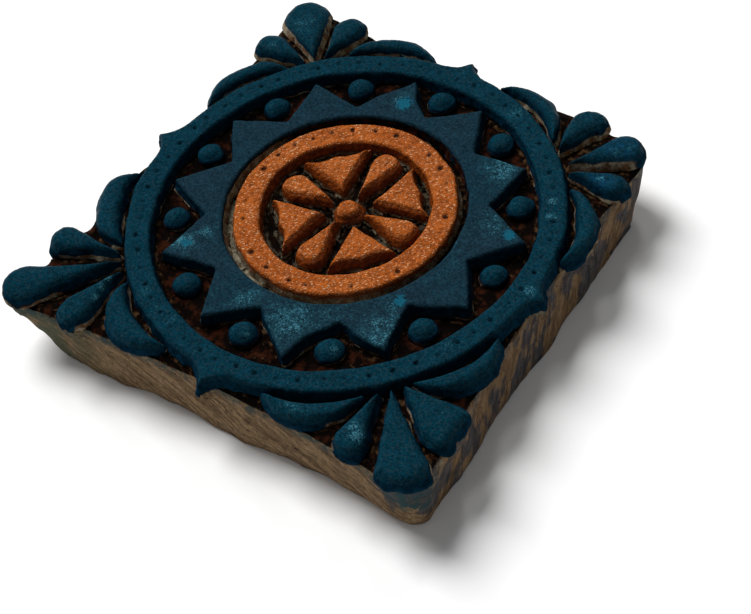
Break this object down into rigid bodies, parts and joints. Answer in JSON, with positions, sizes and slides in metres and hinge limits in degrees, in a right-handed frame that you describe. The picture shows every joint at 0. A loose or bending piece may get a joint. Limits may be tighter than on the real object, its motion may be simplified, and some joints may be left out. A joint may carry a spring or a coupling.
{
  "type": "wooden textile printing block",
  "caption": "Hand-cut wooden block for printing cloth, with a raised dotted ring, pointed star and flower medallion, and a fan of petals in each corner.",
  "frame": {"origin": "middle of the flat back face of the board", "axes": "+Z out of the printing face, +X to the right and +Y to the back of the printing face; the widest edge is at -Y"},
  "size_m": [0.1256, 0.1216, 0.02],
  "materials": {
    "board": "bare hand-cut sides and back with dye stains",
    "teal_relief": "stained with worn teal-blue dye, satin",
    "orange_relief": "stained with orange-brown dye, pebbled and slightly glossy",
    "pins": "bare turned wood"
  },
  "bodies": {
    "root": {"block_body": "board", "dotted_ring": "teal_relief", "star_ring": "teal_relief", "bead_1": "teal_relief", "bead_2": "teal_relief", "bead_3": "teal_relief", "bead_4": "teal_relief", "bead_5": "teal_relief", "bead_6": "teal_relief", "bead_7": "teal_relief", "bead_8": "teal_relief", "bead_9": "teal_relief", "bead_10": "teal_relief", "bead_11": "teal_relief", "bead_12": "teal_relief", "petal_front_left_1": "teal_relief", "petal_front_left_2": "teal_relief", "petal_front_left_3": "teal_relief", "petal_front_right_1": "teal_relief", "petal_front_right_2": "teal_relief", "petal_front_right_3": "teal_relief", "petal_back_right_1": "teal_relief", "petal_back_right_2": "teal_relief", "petal_back_right_3": "teal_relief", "petal_back_left_1": "teal_relief", "petal_back_left_2": "teal_relief", "petal_back_left_3": "teal_relief", "crescent_front_left_1": "teal_relief", "crescent_front_left_2": "teal_relief", "crescent_front_right_1": "teal_relief", "crescent_front_right_2": "teal_relief", "crescent_back_right_1": "teal_relief", "crescent_back_right_2": "teal_relief", "crescent_back_left_1": "teal_relief", "crescent_back_left_2": "teal_relief", "medallion_ring": "orange_relief", "medallion_hub": "orange_relief", "teardrop_1": "orange_relief", "teardrop_2": "orange_relief", "teardrop_3": "orange_relief", "teardrop_4": "orange_relief", "tulip_1": "orange_relief", "tulip_2": "orange_relief", "tulip_3": "orange_relief", "tulip_4": "orange_relief", "locating_pins": "pins"}
  },
  "joints": []
}
